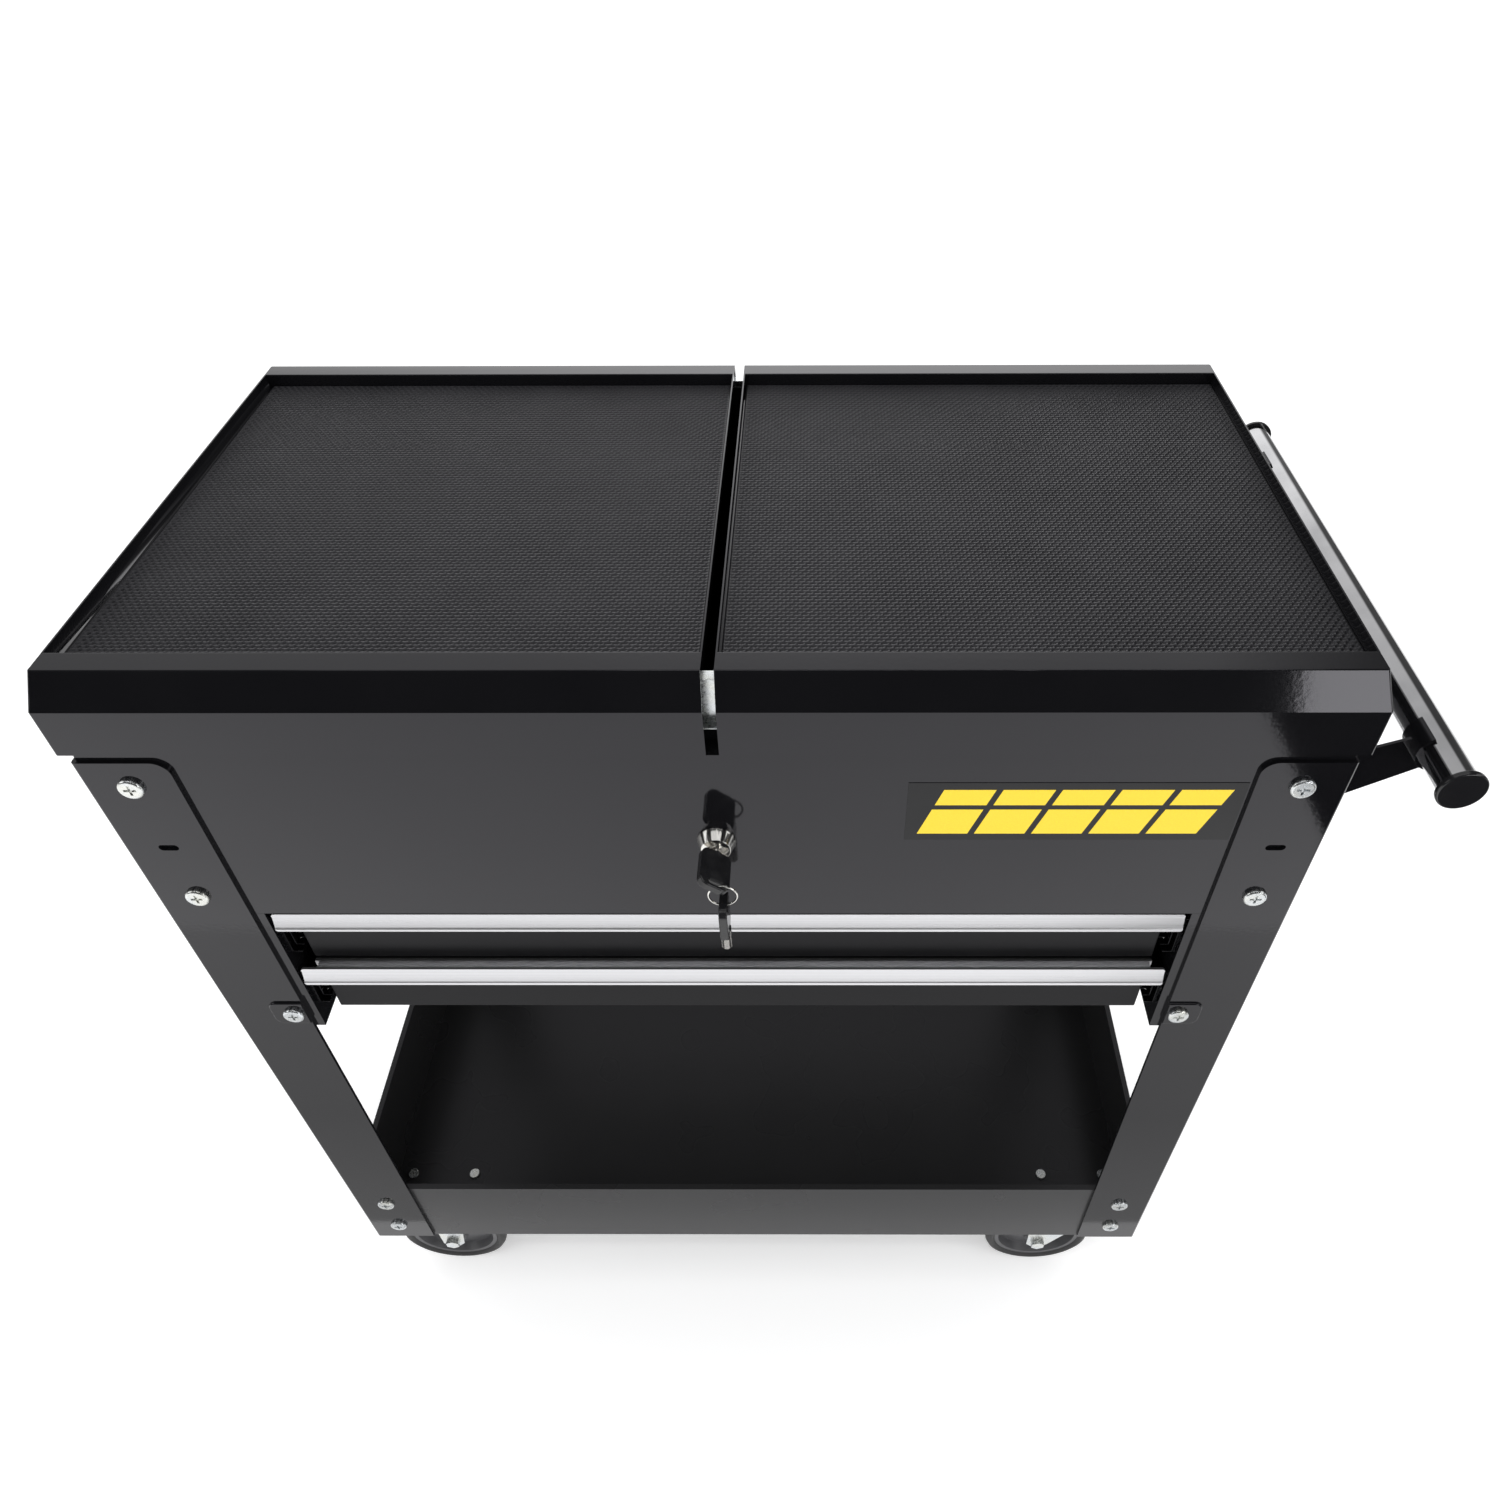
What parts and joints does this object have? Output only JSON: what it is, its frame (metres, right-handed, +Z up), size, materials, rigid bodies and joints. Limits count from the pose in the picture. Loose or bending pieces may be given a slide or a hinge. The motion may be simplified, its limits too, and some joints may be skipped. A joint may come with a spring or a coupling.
{
  "type": "slide-top tool cart",
  "caption": "Rolling tool cart with sliding lids over a deep box, drawers, an open lower tray, a push handle and swivel and rigid casters.",
  "frame": {"origin": "middle of the bounding box at floor level", "axes": "+X to the handle end, +Y to the back, away from the drawer fronts, +Z up"},
  "size_m": [0.9844, 0.545, 1.016],
  "materials": {
    "black_powder_coat": "gloss powder coat",
    "mat_rubber": "ribbed mesh pattern",
    "satin_aluminium": "satin anodised",
    "dark_chrome": "polished",
    "bright_chrome": "polished",
    "zinc_plated_steel": "bright zinc plating",
    "black_zinc_steel": "black zinc plating",
    "black_plastic": "semi-gloss moulded",
    "badge": "gloss film",
    "tyre_rubber": "moulded",
    "hub_nylon": "moulded"
  },
  "bodies": {
    "cart_frame": {"top_box_shell": "black_powder_coat", "front_panel": "black_powder_coat", "top_box_floor": "black_powder_coat", "leg_front_left": "black_powder_coat", "leg_front_right": "black_powder_coat", "leg_back_left": "black_powder_coat", "leg_back_right": "black_powder_coat", "drawer_bay": "black_powder_coat", "shelf_tray": "black_powder_coat", "lid_fixed_rails": "zinc_plated_steel", "drawer_fixed_rails": "black_zinc_steel", "handle_tube": "dark_chrome", "handle_end_caps": "black_plastic", "handle_bracket_front": "black_powder_coat", "handle_bracket_back": "black_powder_coat", "frame_bolts": "zinc_plated_steel", "frame_nuts": "zinc_plated_steel", "lock_housing": "bright_chrome", "lock_nut": "zinc_plated_steel", "badge_plate": "badge", "swivel_plates": "zinc_plated_steel", "rigid_forks": "zinc_plated_steel", "rigid_axles": "zinc_plated_steel", "caster_bolts": "zinc_plated_steel"},
    "left_lid": {"left_lid_pan": "black_powder_coat", "left_lid_mat": "mat_rubber", "left_lid_runners": "zinc_plated_steel"},
    "left_lid_middle": {"left_lid_middle_rails": "zinc_plated_steel"},
    "right_lid": {"right_lid_pan": "black_powder_coat", "right_lid_mat": "mat_rubber", "right_lid_runners": "zinc_plated_steel"},
    "right_lid_middle": {"right_lid_middle_rails": "zinc_plated_steel"},
    "upper_drawer": {"upper_drawer_box": "black_powder_coat", "upper_drawer_pull": "satin_aluminium", "upper_drawer_runners": "black_zinc_steel"},
    "upper_drawer_middle": {"upper_drawer_middle_rails": "black_zinc_steel"},
    "lower_drawer": {"lower_drawer_box": "black_powder_coat", "lower_drawer_pull": "satin_aluminium", "lower_drawer_runners": "black_zinc_steel"},
    "lower_drawer_middle": {"lower_drawer_middle_rails": "black_zinc_steel"},
    "lock_core": {"lock_plug": "bright_chrome", "lock_cam": "zinc_plated_steel", "lock_key": "black_plastic"},
    "key_ring": {"split_ring": "bright_chrome", "spare_key": "black_plastic"},
    "swivel_front": {"swivel_front_fork": "zinc_plated_steel", "swivel_front_axle": "zinc_plated_steel"},
    "swivel_back": {"swivel_back_fork": "zinc_plated_steel", "swivel_back_axle": "zinc_plated_steel"},
    "brake_front": {"swivel_front_brake_pedal": "zinc_plated_steel"},
    "brake_back": {"swivel_back_brake_pedal": "zinc_plated_steel"},
    "wheel_swivel_front": {"swivel_front_tyre": "tyre_rubber", "swivel_front_hub": "hub_nylon"},
    "wheel_swivel_back": {"swivel_back_tyre": "tyre_rubber", "swivel_back_hub": "hub_nylon"},
    "wheel_rigid_front": {"rigid_front_tyre": "tyre_rubber", "rigid_front_hub": "hub_nylon"},
    "wheel_rigid_back": {"rigid_back_tyre": "tyre_rubber", "rigid_back_hub": "hub_nylon"}
  },
  "joints": [
    {"name": "left_lid_slide", "type": "slide", "parent": "cart_frame", "child": "left_lid", "axis": [-1, 0, 0], "range_m": [0, 0.33]},
    {"name": "left_lid_middle_slide", "type": "slide", "parent": "cart_frame", "child": "left_lid_middle", "axis": [-1, 0, 0], "range_m": [0, 0.165]},
    {"name": "right_lid_slide", "type": "slide", "parent": "cart_frame", "child": "right_lid", "axis": [1, 0, 0], "range_m": [0, 0.33]},
    {"name": "right_lid_middle_slide", "type": "slide", "parent": "cart_frame", "child": "right_lid_middle", "axis": [1, 0, 0], "range_m": [0, 0.165]},
    {"name": "upper_drawer_slide", "type": "slide", "parent": "cart_frame", "child": "upper_drawer", "axis": [0, -1, 0], "range_m": [0, 0.34]},
    {"name": "upper_drawer_middle_slide", "type": "slide", "parent": "cart_frame", "child": "upper_drawer_middle", "axis": [0, -1, 0], "range_m": [0, 0.17]},
    {"name": "lower_drawer_slide", "type": "slide", "parent": "cart_frame", "child": "lower_drawer", "axis": [0, -1, 0], "range_m": [0, 0.34]},
    {"name": "lower_drawer_middle_slide", "type": "slide", "parent": "cart_frame", "child": "lower_drawer_middle", "axis": [0, -1, 0], "range_m": [0, 0.17]},
    {"name": "lock_turn", "type": "hinge", "parent": "cart_frame", "child": "lock_core", "pos_m": [-0.04525, -0.21705, 0.856], "axis": [0, 1, 0], "range_deg": [0, 60]},
    {"name": "key_ring_hang", "type": "hinge", "parent": "lock_core", "child": "key_ring", "pos_m": [-0.04258, -0.25995, 0.85406], "axis": [0, 1, 0], "range_deg": [-60, 0]},
    {"name": "caster_swivel_front", "type": "hinge", "parent": "cart_frame", "child": "swivel_front", "pos_m": [0.34275, -0.16705, 0.15], "axis": [0, 0, 1], "continuous": true},
    {"name": "swivel_wheel_front_spin", "type": "hinge", "parent": "swivel_front", "child": "wheel_swivel_front", "pos_m": [0.30775, -0.16705, 0.0635], "axis": [0, 1, 0], "continuous": true},
    {"name": "brake_pedal_front", "type": "hinge", "parent": "swivel_front", "child": "brake_front", "pos_m": [0.30255, -0.16705, 0.1336], "axis": [0, -1, 0], "range_deg": [0, 7]},
    {"name": "rigid_wheel_front_spin", "type": "hinge", "parent": "cart_frame", "child": "wheel_rigid_front", "pos_m": [-0.42725, -0.16705, 0.0635], "axis": [0, 1, 0], "continuous": true},
    {"name": "caster_swivel_back", "type": "hinge", "parent": "cart_frame", "child": "swivel_back", "pos_m": [0.34275, 0.18995, 0.15], "axis": [0, 0, 1], "continuous": true},
    {"name": "swivel_wheel_back_spin", "type": "hinge", "parent": "swivel_back", "child": "wheel_swivel_back", "pos_m": [0.30775, 0.18995, 0.0635], "axis": [0, 1, 0], "continuous": true},
    {"name": "brake_pedal_back", "type": "hinge", "parent": "swivel_back", "child": "brake_back", "pos_m": [0.30255, 0.18995, 0.1336], "axis": [0, -1, 0], "range_deg": [0, 7]},
    {"name": "rigid_wheel_back_spin", "type": "hinge", "parent": "cart_frame", "child": "wheel_rigid_back", "pos_m": [-0.42725, 0.18995, 0.0635], "axis": [0, 1, 0], "continuous": true}
  ],
  "couplings": [
    {"joint": "left_lid_middle_slide", "follows": "left_lid_slide", "ratio": 0.5},
    {"joint": "right_lid_middle_slide", "follows": "right_lid_slide", "ratio": 0.5},
    {"joint": "upper_drawer_middle_slide", "follows": "upper_drawer_slide", "ratio": 0.5},
    {"joint": "lower_drawer_middle_slide", "follows": "lower_drawer_slide", "ratio": 0.5},
    {"joint": "key_ring_hang", "follows": "lock_turn", "ratio": -1}
  ]
}
